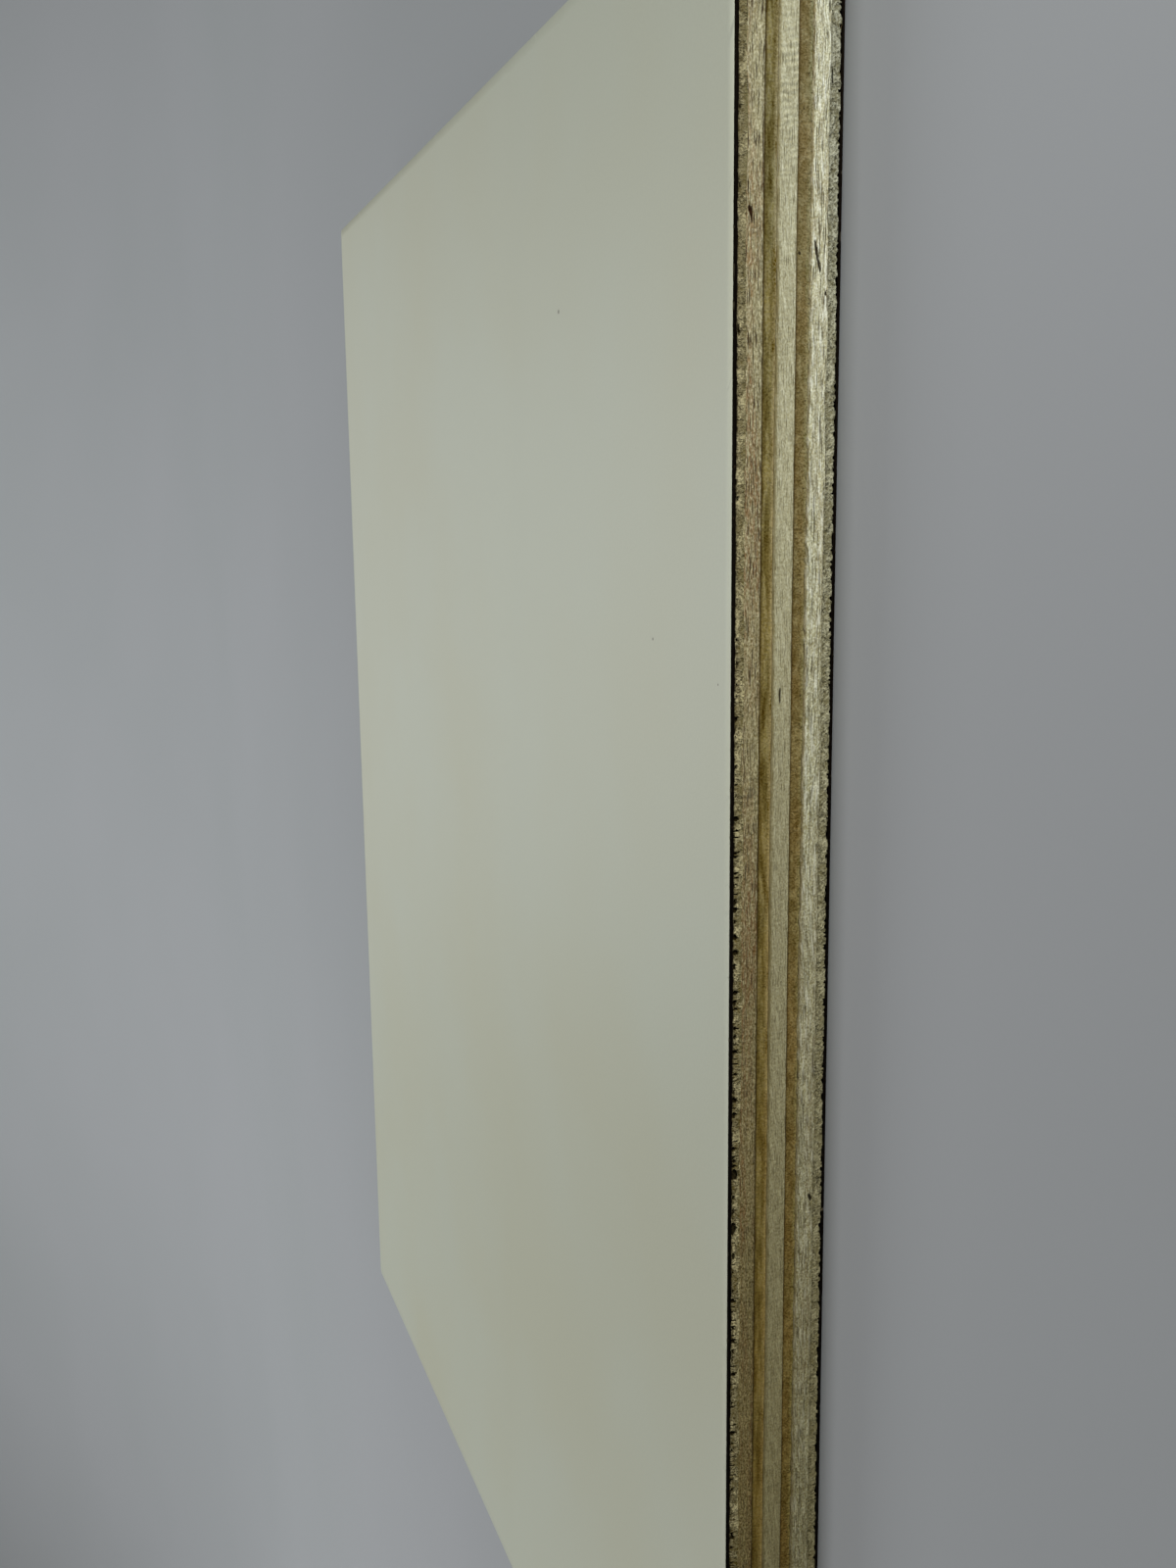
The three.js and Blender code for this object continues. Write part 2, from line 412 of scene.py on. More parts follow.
class Finish:
    """A node material being made. Each call of put adds one node and links or sets its inputs."""

    def __init__(self, name, roughness, specular):
        self.material = bpy.data.materials.new(name)
        self.material.use_nodes = True
        self.tree = self.material.node_tree
        self.shader = self.tree.nodes["Principled BSDF"]
        self.shader.inputs["Roughness"].default_value = roughness
        self.shader.inputs["Specular IOR Level"].default_value = specular
        self.place = self.put("TexCoord").outputs["Object"]

    def put(self, kind, inputs=None, **settings):
        """Adds a node. An input is a number or colour to store, or a socket to link."""
        node = self.tree.nodes.new("ShaderNode" + kind)
        for key, value in settings.items():
            setattr(node, key, value)
        for key, value in (inputs or {}).items():
            self.give(node.inputs[key], value)
        return node

    def give(self, socket, value):
        """Links a socket to an input, or stores a number or colour there."""
        if isinstance(value, bpy.types.NodeSocket):
            self.tree.links.new(value, socket)
        else:
            socket.default_value = value

    def math(self, operation, *values):
        """A number worked out from others."""
        return self.put("Math", dict(enumerate(values)), operation=operation).outputs[0]

    def vector(self, operation, *values):
        """A place or a colour worked out from others, channel by channel."""
        return self.put("VectorMath", dict(enumerate(values)), operation=operation).outputs[0]

    def times(self, a, b):
        """The product of two numbers."""
        return self.math("MULTIPLY", a, b)

    def plus(self, *terms):
        """The sum of two numbers or more."""
        total = terms[0]
        for term in terms[1:]:
            total = self.math("ADD", total, term)
        return total

    def field(self, name):
        """A number that the mesh holds at each vertex."""
        return self.put("Attribute", attribute_name=name).outputs["Fac"]

    def distance(self, point):
        """How far a place lies from a point, in metres."""
        return self.put("VectorMath", {0: self.place, 1: point}, operation="DISTANCE").outputs["Value"]

    def drift_with_grain(self):
        """From here on, patterns rise and fall along the edge as the grain does."""
        rise = self.put("CombineXYZ", {"Z": self.times(self.field("drift"), MM)}).outputs[0]
        self.place = self.vector("ADD", self.place, rise)

    def noise(self, cell, detail=2.0, roughness=0.55, lean=0.0):
        """Solid noise from 0 to 1 with a cell of that size in millimetres along x, y and z.

        It leans by that many degrees about both x and y, so that it slopes on every edge.
        """
        turn = np.radians(lean)
        leaning = self.put("Mapping", {"Vector": self.place, "Rotation": (turn, turn, 0.0)})
        scale = tuple(1 / (MM * c) for c in cell)
        scaled = self.put("Mapping", {"Vector": leaning.outputs[0], "Scale": scale})
        inputs = {"Vector": scaled.outputs[0], "Scale": 1.0, "Detail": detail, "Roughness": roughness}
        return self.put("TexNoise", inputs).outputs[0]

    def lines(self, cell, width):
        """1 on winding lines, where a noise of that cell crosses its middle, and 0 beside them."""
        off_middle = self.math("ABSOLUTE", self.math("SUBTRACT", self.noise(cell, 0.0), 0.5))
        return self.spread(off_middle, 0.3 * width, width, 1.0, 0.0)

    def waves(self, period, lean):
        """From -1 to 1 and back in each period of x, in millimetres, in bands that lean and stray."""
        turn = (0.0, np.radians(lean), 0.0)
        leaning = self.put("Mapping", {"Vector": self.place, "Rotation": turn}).outputs[0]
        step = 2 * np.pi / 20 / (period * MM)  # the node's own waves are 2 pi / 20 long
        scaled = self.put("Mapping", {"Vector": leaning, "Scale": (step, step, step)}).outputs[0]
        inputs = {"Vector": scaled, "Scale": 1.0, "Distortion": 5.0, "Detail": 2.0, "Detail Scale": 1.5}
        bands = self.put("TexWave", inputs, wave_type="BANDS", bands_direction="X")
        return self.spread(bands.outputs["Fac"], 0.0, 1.0, -1.0, 1.0)

    def spread(self, value, low, high, to_low=0.0, to_high=1.0):
        """value from low to high, carried to the range to_low to to_high and held there."""
        inputs = {"Value": value, "From Min": low, "From Max": high, "To Min": to_low, "To Max": to_high}
        return self.put("MapRange", inputs, clamp=True).outputs[0]

    def swing(self, noise, low, high):
        """A noise, which seldom leaves 0.3 to 0.7, carried to the range low to high."""
        return self.spread(noise, 0.3, 0.7, low, high)

    def mix(self, share, a, b):
        """Colour a, turning to b as share goes from 0 to 1. The node's inputs 6 and 7 are its colours."""
        return self.put("Mix", {"Factor": share, 6: a, 7: b}, data_type="RGBA").outputs[2]

    def blend(self, colour, other, value, low, high, strength=1.0):
        """A colour that turns to another as value goes from low to high, as far as strength."""
        return self.mix(self.spread(value, low, high, 0.0, strength), colour, other)

    def brighten(self, colour, value):
        """A colour multiplied by a number."""
        return self.put("VectorMath", {0: colour, "Scale": value}, operation="SCALE").outputs[0]

    def shade(self, colour, change):
        """A colour made darker or paler by a share of itself, green and blue more so: browner if darker."""
        return self.vector("MULTIPLY", colour, self.vector("MULTIPLY_ADD", change, BROWNING, WHITE))

    def along(self, high, low):
        """A number that goes from high at the +X side of the panel to low towards -X."""
        way = self.put("SeparateXYZ", {0: self.place}).outputs["X"]
        return self.spread(way, *CHANGE_X, low, high)

    def paint_falloff_and_browning(self, colour, shares):
        """A colour multiplied, channel by channel, by 1 at the +X side and by shares towards -X: painted
        light and shade along the panel for the near-edge lamp's falloff and the plies catching it
        unequally, with some browning of the wood.
        """
        tint = self.mix(self.along(0.0, 1.0), (*WHITE, 1.0), (*shares, 1.0))
        return self.vector("MULTIPLY", colour, tint)

    def colour(self, colour):
        """The shader's own colour."""
        self.give(self.shader.inputs["Base Color"], colour)

    def roughness(self, value):
        """The shader's roughness, where it changes from place to place."""
        self.give(self.shader.inputs["Roughness"], value)

    def layered(self, relief, *patterns):
        """A height: the sum of patterns, each times its share of the relief."""
        return self.plus(*(self.times(pattern, share * relief) for pattern, share in patterns))

    def bump(self, height):
        """Relief from a height in millimetres."""
        relief = self.put("Bump", {"Height": height, "Distance": MM})
        self.give(self.shader.inputs["Normal"], relief.outputs[0])


# Cells of the grain's patterns: a length along the fibres and a width across them
STREAK_WIDTH = 0.42
FIBRE_CELL = (0.65, 0.13)
HAIR_WIDTH = 0.12
GRIT_CELL = (0.32, 0.24)
WARM_PATCH_CELL = (30, 2.4)
WARM_THREAD_CELL = (1.8, 0.22)

# Ripples across the grain
RIPPLE_PATCH_CELL = (2.5, 2.5, 1.2)
RIPPLE_LEAN = 10.0
RIPPLE_CONTRAST = 0.22
RIPPLE_RELIEF = 0.02

# Cells of the end grain's patterns along x, y and z, and a line's width as a share of the noise's range
RUST_CELL = (14, 14, 2.5)
GRAIN_HEIGHT = 0.3
CURL_CELL = (0.7, 0.7, 0.5)
CURL_WIDTH = 0.16
CRACK_CELL = (1.5, 1.5, 0.9)
PORE_CELL = (0.5, 0.5, 0.45)
PALE_STROKE_CELL = (0.3, 0.3, 1.6)
DARK_STROKE_CELL = (0.3, 0.3, 1.4)


def long_grain_look(finish, look):
    """Colour and relief along the fibres: streaks, threads, bright lumps, dark cracks, grit and ripples."""

    def grain(cell, **kind):
        """Noise that is long along the fibres and narrow across them."""
        along, across = cell
        x, y = (along, across) if look.fibres == "x" else (across, along)
        return finish.noise((x, y, across), **kind)

    lean = look.fibre_lean
    streaks = grain((look.streak_cell, STREAK_WIDTH), detail=3.0, roughness=0.65, lean=lean)
    fibres = grain(FIBRE_CELL, detail=1.0, roughness=0.5, lean=lean)
    lumps = grain(look.lump_cell, detail=1.5, roughness=0.5, lean=lean)
    hairs = grain((look.hair_cell, HAIR_WIDTH), detail=0.0)
    grit = grain(GRIT_CELL, detail=1.0)
    warm_patches = grain(WARM_PATCH_CELL)
    warm_threads = grain(WARM_THREAD_CELL, detail=1.0)
    half_range = 0.5 * look.streaks
    paleness = finish.plus(
        finish.spread(streaks, 0.32, 0.68, 0.5 - half_range, 0.5 + half_range),
        finish.times(finish.field("tone"), 0.3),
    )
    colour = finish.blend(look.deep, look.pale, paleness, 0.0, 1.0)
    warm_threads = finish.spread(warm_threads, 0.36, 0.6, 0.0, look.warmth)
    warm = finish.times(finish.spread(warm_patches, 0.4, 0.6), warm_threads)
    colour = finish.mix(warm, colour, look.warm)
    colour = finish.brighten(colour, finish.swing(fibres, 1 - look.contrast, 1 + look.contrast))
    colour = finish.shade(colour, finish.times(finish.swing(grit, -1.0, 1.0), finish.along(*look.grit)))
    colour = finish.blend(colour, look.bright, lumps, 0.54, 0.68, look.shine)
    cracked = finish.times(finish.spread(hairs, 0.28, 0.4, 1.0, 0.0), finish.along(*look.hairs))
    colour = finish.mix(cracked, colour, look.crack)
    ripple_patches = finish.spread(finish.noise(RIPPLE_PATCH_CELL, detail=1.0), 0.38, 0.62)
    rippled = finish.times(finish.field("ripple"), finish.waves(look.ripple_period, RIPPLE_LEAN))
    rippled = finish.times(rippled, ripple_patches)
    colour = finish.brighten(colour, finish.plus(finish.times(rippled, RIPPLE_CONTRAST), 1.0))
    patterns = (streaks, 0.4), (lumps, 0.6), (fibres, 0.4), (grit, 0.4), (cracked, -0.3)
    height = finish.plus(finish.layered(look.relief, *patterns), finish.times(rippled, RIPPLE_RELIEF))
    return colour, height


def end_grain_look(finish, look):
    """Colour and relief where the fibres run out: grains, pale curls and strokes, dark cracks and pores."""
    along, up_cell = look.mottle_cell
    mottles = finish.noise((along, along, up_cell))
    rust_patches = finish.noise(RUST_CELL, detail=1.5)
    grains = finish.noise((look.grain_cell, look.grain_cell, GRAIN_HEIGHT), detail=1.5, roughness=0.6)
    curls = finish.lines(CURL_CELL, CURL_WIDTH)
    cracks = finish.lines(CRACK_CELL, look.crack_width)
    pores = finish.noise(PORE_CELL)
    up = finish.plus(finish.field("up"), finish.swing(mottles, -0.1, 0.1))
    # Paler towards the seam behind; on the hollow cross plies this is partly painted light where the hollow
    # rises
    colour = finish.blend(look.end_back, look.end_front, up, 0.0, look.pale_back)
    colour = finish.blend(colour, look.rust, rust_patches, 0.42, 0.62, look.rustiness)
    contrast = finish.plus(
        finish.swing(mottles, -look.mottling, look.mottling),
        finish.swing(grains, -0.7, 0.7),
        finish.times(finish.field("tone"), 0.4),
    )
    colour = finish.shade(colour, finish.times(contrast, finish.along(*look.end_contrast)))
    crumbs = finish.times(curls, finish.spread(mottles, 0.45, 0.62))
    crumbs = finish.times(crumbs, finish.along(*look.curls))
    colour = finish.mix(crumbs, colour, look.fleck)
    cracked = finish.times(cracks, finish.spread(grains, 0.58, 0.42, 0.0, look.cracks))
    colour = finish.mix(cracked, colour, look.pit)
    colour = finish.blend(colour, look.pit, pores, 0.34, 0.26, look.pores)
    height = finish.layered(look.end_relief, (grains, 1.0), (crumbs, 0.3), (cracked, -0.4))
    if max(look.strokes) > 0:
        strength = finish.along(*look.strokes)
        pale_strokes = finish.noise(PALE_STROKE_CELL, lean=look.stroke_lean)
        dark_strokes = finish.noise(DARK_STROKE_CELL, lean=-look.stroke_lean)
        pale = finish.times(finish.spread(pale_strokes, 0.52, 0.62), strength)
        dark = finish.times(finish.spread(dark_strokes, 0.57, 0.67), strength)
        colour = finish.mix(dark, finish.mix(pale, colour, look.fleck), look.pit)
        height = finish.plus(height, finish.layered(look.end_relief, (pale_strokes, 0.5)))
    return colour, height


def veneer_finish(name, look):
    """Sawn veneer: streaked along its fibres, grainy where they run out, and brown beside the glue, which
    at the seam in front is partly painted shade.
    """
    finish = Finish(name, roughness=0.6, specular=look.gloss)
    finish.drift_with_grain()
    ran_out = finish.field("end_grain")
    long_colour, long_height = long_grain_look(finish, look)
    end_colour, end_height = end_grain_look(finish, look)
    colour = finish.mix(ran_out, long_colour, end_colour)
    # Painted light and shade along the panel, with some browning of the wood
    colour = finish.paint_falloff_and_browning(colour, look.aged)
    # Glue stain beside the seams; at the seam in front of a hollow veneer it is partly painted shade
    colour = finish.mix(finish.field("glue"), colour, look.glue)
    # The pit colour where the wood is torn, pitted or faulted: dark wood with painted shade in these
    # hollows
    finish.colour(finish.blend(colour, look.pit, finish.field("torn"), 0.2, 0.6, 0.96))
    finish.roughness(finish.spread(ran_out, 0.0, 1.0, 0.5, 0.85))
    left = finish.math("SUBTRACT", 1.0, ran_out)
    finish.bump(finish.plus(finish.times(long_height, left), finish.times(end_height, ran_out)))
    return finish.material


def glue_finish():
    """Dried glue on the faces that are bonded together, which only show if the layers are parted."""
    finish = Finish("dried_glue", roughness=0.55, specular=0.5)
    film = finish.noise((6, 6, 6), detail=3.0)
    finish.colour(finish.blend(paint("6f5b3d"), paint("7d6846"), film, 0.35, 0.65))
    finish.roughness(finish.swing(film, 0.45, 0.65))
    finish.bump(finish.times(film, 0.1))
    return finish.material


SPECKS = ((109.4, -59.8, 0.45), (58.5, -100.5, 0.3), (54.1, -123.2, 0.2))  # x, y and radius of each


def decor_finish():
    """The laminate's cream face: matt, with faint clouds, a fine suede texture and a few dark specks."""
    finish = Finish("matt_cream_decor", roughness=0.5, specular=0.5)
    clouds = finish.noise((60, 60, 60))
    suede = finish.noise((0.5, 0.5, 0.5))
    colour = finish.blend(paint("9b9d8b"), paint("9ca091"), clouds, 0.35, 0.65)
    colour = finish.brighten(colour, finish.swing(suede, 0.97, 1.03))
    for x, y, radius in SPECKS:
        away = finish.distance((x * MM, y * MM, PANEL_TOP * MM))
        colour = finish.blend(colour, paint("4d4a3e"), away, radius * MM, 0.5 * radius * MM)
    finish.colour(colour)
    finish.roughness(finish.swing(suede, 0.47, 0.53))
    finish.bump(finish.times(suede, 0.012))
    return finish.material


def core_finish():
    """The laminate's sawn edge: near-black resin-soaked paper with fine layers and brown scuffs."""
    finish = Finish("sawn_laminate_core", roughness=0.6, specular=0.04)
    sheets = finish.noise((30, 30, 0.12), detail=1.0)
    scuffs = finish.noise((0.8, 0.8, 0.3), detail=3.0)
    colour = finish.blend(paint("070503"), paint("0f0b07"), sheets, 0.35, 0.65)
    colour = finish.blend(colour, paint("3c3022"), scuffs, 0.66, 0.85)
    finish.colour(finish.blend(colour, paint("57503f"), finish.field("torn"), 0.2, 0.9))
    finish.roughness(finish.swing(scuffs, 0.5, 0.75))
    finish.bump(finish.times(scuffs, 0.06))
    return finish.material


# ---------------- Looks of the veneers ----------------

# What a veneer is like unless its own look says otherwise. A pair holds a value at the +X side of the panel
# and one towards -X, but a cell's holds its length and width, and the glue's its strength and reach.
COMMON_LOOK = dict(
    # along the fibres
    pale="aaa68a",
    deep="877f5f",
    bright="d8d4b8",
    warm="8a7452",
    crack="4a3c24",
    streaks=0.8,
    streak_cell=3.5,
    fibre_lean=3.0,
    contrast=0.15,
    lump_cell=(2.6, 0.3),
    shine=0.5,
    warmth=0.0,
    grit=(0.16, 0.16),
    hairs=(0.5, 0.5),
    hair_cell=2.0,
    ripple_period=0.87,
    ridge=0.08,
    splinters=0.5,
    relief=0.15,
    soft_front=True,
    drift=0.5,
    gloss=0.25,
    # where they run out
    end_front="7a6e4a",
    end_back="80734c",
    pale_back=0.35,  # share of the thickness over which end_back turns to end_front, partly painted light on the rise of a hollow
    fleck="b3ab86",
    pit="241c10",
    rust="7a5a28",
    rustiness=0.0,
    end_contrast=(0.25, 0.25),
    mottle_cell=(1.5, 0.9),
    mottling=0.6,
    grain_cell=0.34,
    curls=(0.2, 0.2),
    cracks=0.2,
    crack_width=0.1,
    pores=0.4,
    strokes=(0.0, 0.0),
    stroke_lean=30.0,
    set_back=0.28,
    hollow=0.16,
    crumb=0.04,
    pits=0.15,
    pit_row=0.6,
    row_cell=0.8,
    row_width=0.45,  # of a pit at the seam, as a share of the noise's range
    row_reach=0.25,
    row_middle=0.0,  # its distance from the seam
    row_behind=False,
    crowding=(0.35, 0.35),  # of the row of pits
    end_relief=0.2,
    # stain of the glue, at the seam behind, and how broken it is; its colour also serves the seam in front,
    # where it is partly painted shade
    glue="3a2a14",
    back_glue=(0.0, 0.3),
    ragged=0.5,
    ragged_cell=2.2,
)


def veneer_look(**own):
    """A veneer's look: the common one with its own values in place of some, and four that each has to give.

    These are fibres, the axis that they follow; rows, those of the mesh up the edge; aged, the shares for
    Finish.age, which paint light and shade along the panel with some browning; and front_glue, the stain at
    the seam in front, glue that is partly painted shade. Colours are written as six hex digits.
    """
    values = {**COMMON_LOOK, **own}
    colours = {key: paint(v) for key, v in values.items() if isinstance(v, str) and len(v) == 6}
    return SimpleNamespace(**{**values, **colours})


VENEERS = {
    "back_face_ply": veneer_look(
        fibres="y", rows=11, aged=(1.77, 1.62, 1.26), gloss=0.1,
        end_front="706e59", end_back="73725f", fleck="aeaf9c", pit="100f09", end_contrast=(0.32, 0.2),
        curls=(0.55, 0.25), cracks=0.4, pores=0.3, strokes=(0.45, 0.2), stroke_lean=32.0, set_back=0.04,
        hollow=0.06, crumb=0.07, pits=0.4, pit_row=1.0, row_cell=0.55, row_reach=0.22, row_behind=True,
        crowding=(0.75, 0.65), end_relief=0.28,
        glue="1d170d", front_glue=(0.4, 0.25), back_glue=(1.0, 0.1), ragged=0.9, ragged_cell=0.4,
    ),
    "back_long_ply": veneer_look(
        fibres="x", rows=21, aged=(0.81, 0.74, 0.56), drift=1.0,
        pale="cacbaf", deep="928f78", bright="eaeee3", warm="8f7a58", crack="33290f", streaks=0.75,
        streak_cell=2.2, contrast=0.12, lump_cell=(2.4, 0.32), warmth=0.25, grit=(0.28, 0.42),
        hairs=(0.75, 0.4), hair_cell=2.6, ridge=0.12, splinters=0.4, relief=0.3,
        glue="6b5d35", front_glue=(0.9, 0.38), back_glue=(0.2, 0.3),
    ),
    "back_cross_ply": veneer_look(
        fibres="y", rows=13, aged=(1.57, 1.32, 0.76),
        end_front="615839", end_back="747254", pale_back=0.25, fleck="9d9a7b", rust="685836", rustiness=0.5,
        end_contrast=(0.48, 0.6), mottling=0.4, grain_cell=0.28, cracks=0.12, pores=0.8, end_relief=0.14,
        glue="33260f", front_glue=(1.1, 0.44), ragged=0.4,
    ),
    "centre_ply": veneer_look(
        fibres="x", rows=21, aged=(0.89, 0.80, 0.57), drift=0.35,
        pale="aaa98f", deep="8d896f", bright="c1c1ab", warm="7f6a4e", crack="4d4425", streaks=0.6,
        fibre_lean=8.0, contrast=0.1, shine=0.4, grit=(0.2, 0.26), hairs=(0.6, 0.45), hair_cell=1.8,
        ridge=0.06, splinters=0.2, relief=0.16,
        glue="64582f", front_glue=(0.9, 0.38),
    ),
    "front_cross_ply": veneer_look(
        fibres="y", rows=13, aged=(2.05, 1.71, 1.10),
        end_front="595230", end_back="7e7759", pale_back=0.28, fleck="a29f8b", rust="675623", rustiness=0.2,
        end_contrast=(0.42, 0.3), mottling=1.2, mottle_cell=(5.0, 0.6), grain_cell=0.3, curls=(0.15, 0.1),
        cracks=0.08, pores=0.2, crowding=(0.45, 0.3), end_relief=0.12,
        glue="2a1d08", front_glue=(1.2, 0.42), ragged=0.3,
    ),
    "front_long_ply": veneer_look(
        fibres="x", rows=19, aged=(0.82, 0.70, 0.43), drift=0.3, soft_front=False,
        pale="9b977a", deep="797254", bright="bbb79b", warm="735332", crack="2a1b0b", pit="2c1606",
        streaks=0.5, streak_cell=2.5, contrast=0.2, lump_cell=(0.6, 0.2), shine=0.7, warmth=0.7,
        grit=(0.28, 0.65), hairs=(1.0, 0.4), hair_cell=2.6, ripple_period=1.0, ridge=0.07, splinters=0.1,
        relief=0.22,
        front_glue=(0.0, 0.3), back_glue=(0.3, 0.3),
    ),
    "front_face_ply": veneer_look(
        fibres="y", rows=13, aged=(1.88, 1.83, 1.72), gloss=0.1, soft_front=False,
        end_front="6c654a", end_back="696346", fleck="b9b18a", pit="1c1504", end_contrast=(0.32, 0.5),
        grain_cell=0.25, curls=(0.35, 0.6), cracks=0.4, crack_width=0.12, pores=0.35, set_back=0.04,
        hollow=0.06, crumb=0.06, pits=0.3, pit_row=1.0, row_cell=0.7, row_width=0.32, row_reach=0.58,
        row_middle=0.36, crowding=(-0.35, 0.75), end_relief=0.3,
        glue="140d05", front_glue=(1.0, 0.24), ragged=0.9, ragged_cell=0.5,
    ),
}

# Faults of the near edge: layer, place x and height z, half length, half height, depth, all in millimetres.
FAULTS = (
    ("front_long_ply", 113.1, 12.7, 0.32, 0.2, 0.5),
    ("front_long_ply", 112.7, 12.52, 0.4, 0.18, 0.5),
    ("front_long_ply", 112.0, 12.38, 0.6, 0.13, 0.4),
    ("back_long_ply", 109.3, 3.52, 0.6, 0.1, 0.4),
    ("back_long_ply", 108.5, 3.38, 0.5, 0.12, 0.4),
    ("back_long_ply", 107.8, 3.2, 0.5, 0.13, 0.4),
    ("back_long_ply", 107.1, 3.0, 0.5, 0.12, 0.4),
    ("back_long_ply", 106.5, 2.86, 0.5, 0.1, 0.4),
    ("back_long_ply", 103.4, 2.0, 0.22, 0.15, 0.4),
    ("back_face_ply", 129.2, 1.5, 0.8, 0.1, 0.25),
    ("back_cross_ply", 108.2, 5.6, 0.2, 0.15, 0.25),
    ("centre_ply", 52.7, 7.83, 1.0, 0.08, 0.3),
    ("back_long_ply", -18.3, 2.3, 0.3, 0.16, 0.4),
    ("back_long_ply", -18.7, 2.1, 0.32, 0.17, 0.4),
    ("back_laminate", -20.6, 0.3, 0.2, 0.25, 0.25),
)
FAULT_CORE = 1.6  # a fault is fully dark, partly painted shade in its hollow, where its bell is over 1 / FAULT_CORE

# Stretches of the near edge whose fibres ripple: the middle in x, half the length, and the share elsewhere.
RIPPLES = {"centre_ply": (126, 10, 0.25), "front_long_ply": (39, 5, 0.0)}


def faults_of(name, s, z):
    """How deep the layer's faults go at each place, and how dark they are, partly painted shade in the
    hollow: each is a bell over an oval.
    """
    depth, share = np.zeros_like(z), np.zeros_like(z)
    for layer, x, height, half_length, half_height, fault_depth in FAULTS:
        if layer == name:
            across, up = (s - near_side(x)) / half_length, (z - height) / half_height
            bell = np.exp(-(across**2) - up**2)
            depth += fault_depth * bell
            share = np.maximum(share, ease(FAULT_CORE * bell))
    return depth, share


def ripple_of(name, path):
    """How strongly the layer's fibres ripple along its edge: a bell round the middle of the stretch."""
    if name not in RIPPLES:
        return np.zeros_like(path.s)
    middle, reach, elsewhere = RIPPLES[name]
    return np.maximum(np.exp(-(((path.s - near_side(middle)) / reach) ** 2)), elsewhere)


# ---------------- Layers ----------------

DRIFT_CELL = 38  # of the grain's slow rise and fall along an edge
QUICK_DRIFT_CELL = 11
QUICK_DRIFT = 0.35  # share of the quick one
CROWDING_CHANGES = (15, 75)  # places in x between which a row of pits grows denser or thinner
ROW_CLOSENESS = 0.55  # 0 spaces a veneer's rows evenly, and more draws them to its two seams
FRONT_GLUE_AND_SHADE_FULL = 0.3  # share of its reach over which the stain at the seam in front, glue and painted shade, keeps its strength
LAMINATE_ROWS = (0, 0.2, 0.4, 0.6, 0.75)  # shares of a laminate's thickness from the bond out to the bevel

# Areas of the map: a veneer's band, lower cap and upper cap; a laminate's band, bonded face and outer face
VENEER_AREAS = ((0, 0, 1, 0.95), (0.005, 0.955, 0.045, 0.995), (0.055, 0.955, 0.095, 0.995))
LAMINATE_AREAS = ((0, 0.055, 1, 0.185), (0.005, 0.005, 0.045, 0.045), (0.003, 0.19, 0.997, 0.997))
LAMINATE_STRIPS = 8


def edge_grid(path, z, depth):
    """An edge, rows by columns by 3: the outline drawn in by depth along its normal, at height z."""
    return np.stack([path.x - path.nx * depth, path.y - path.ny * depth, z], 2)


def crowded_rows(count):
    """Row heights from 0 to 1: even steps less a wave of a sine, which draws them to both ends."""
    t = np.linspace(0, 1, count)
    return t - ROW_CLOSENESS * np.sin(2 * np.pi * t) / (2 * np.pi)


def glue_and_shade_stain(look, h, thickness):
    """How strongly the glue stains the veneer, partly painted shade at the seam in front, where a hollow
    veneer lies back under its neighbour: it eases to nothing away from each of its two seams.
    """
    (front, front_reach), (back, back_reach) = look.front_glue, look.back_glue
    from_front = thickness - h
    beside_front = front * ease(1 + FRONT_GLUE_AND_SHADE_FULL - from_front / front_reach)
    return beside_front + back * ease(1 - h / back_reach)


def veneer(index, node, look, finishes):
    """A veneer: long grain on two sides and end grain on the other two, which blend round the corners."""
    if look.fibres == "x":
        path = outline(**LONG_GRAIN_COLUMNS)
        ran_out = path.nx**2
    else:
        path = outline(**END_GRAIN_COLUMNS)
        ran_out = path.ny**2
    low, high = seam_height(index, path), seam_height(index + 1, path)
    up = crowded_rows(look.rows)[:, None]
    z = low + (high - low) * up
    thickness = float(np.mean(high - low))
    up, s, blend = (np.broadcast_to(values, z.shape) for values in (up, path.s, ran_out))
    h = up * thickness
    rng = np.random.default_rng(VENEER_SEED + index)
    drift = look.drift * (waver(rng, s, DRIFT_CELL) + QUICK_DRIFT * waver(rng, s, QUICK_DRIFT_CELL))
    crowding = np.interp(path.x, CROWDING_CHANGES, look.crowding[::-1])
    deep_long, tone_long, torn_long = long_grain(rng, s, h, thickness, drift, look)
    deep_end, tone_end, torn_end = end_grain(rng, s, h, thickness, crowding, look)
    fault_depth, fault = faults_of(node, s, z)
    depth = deep_long + (deep_end - deep_long) * blend + fault_depth
    broken = look.ragged * (0.5 + 0.5 * mottle(rng, s, h, (look.ragged_cell, 1)))
    fields = {
        "end_grain": blend,
        "up": up,
        "tone": tone_long + (tone_end - tone_long) * blend,
        "torn": np.maximum(torn_long + (torn_end - torn_long) * blend, fault),
        "glue": glue_and_shade_stain(look, h, thickness) * (1 - broken),
        "drift": drift,
        "ripple": np.broadcast_to(ripple_of(node, path), z.shape),
    }
    grid = edge_grid(path, z, np.maximum(depth, 0.0))
    strips = round(np.sqrt(PERIMETER / thickness))
    slots_up = [1] + [0] * (look.rows - 1) + [1]
    return layer_object(node + "_veneer", node, grid, fields, strips, VENEER_AREAS, slots_up, finishes)


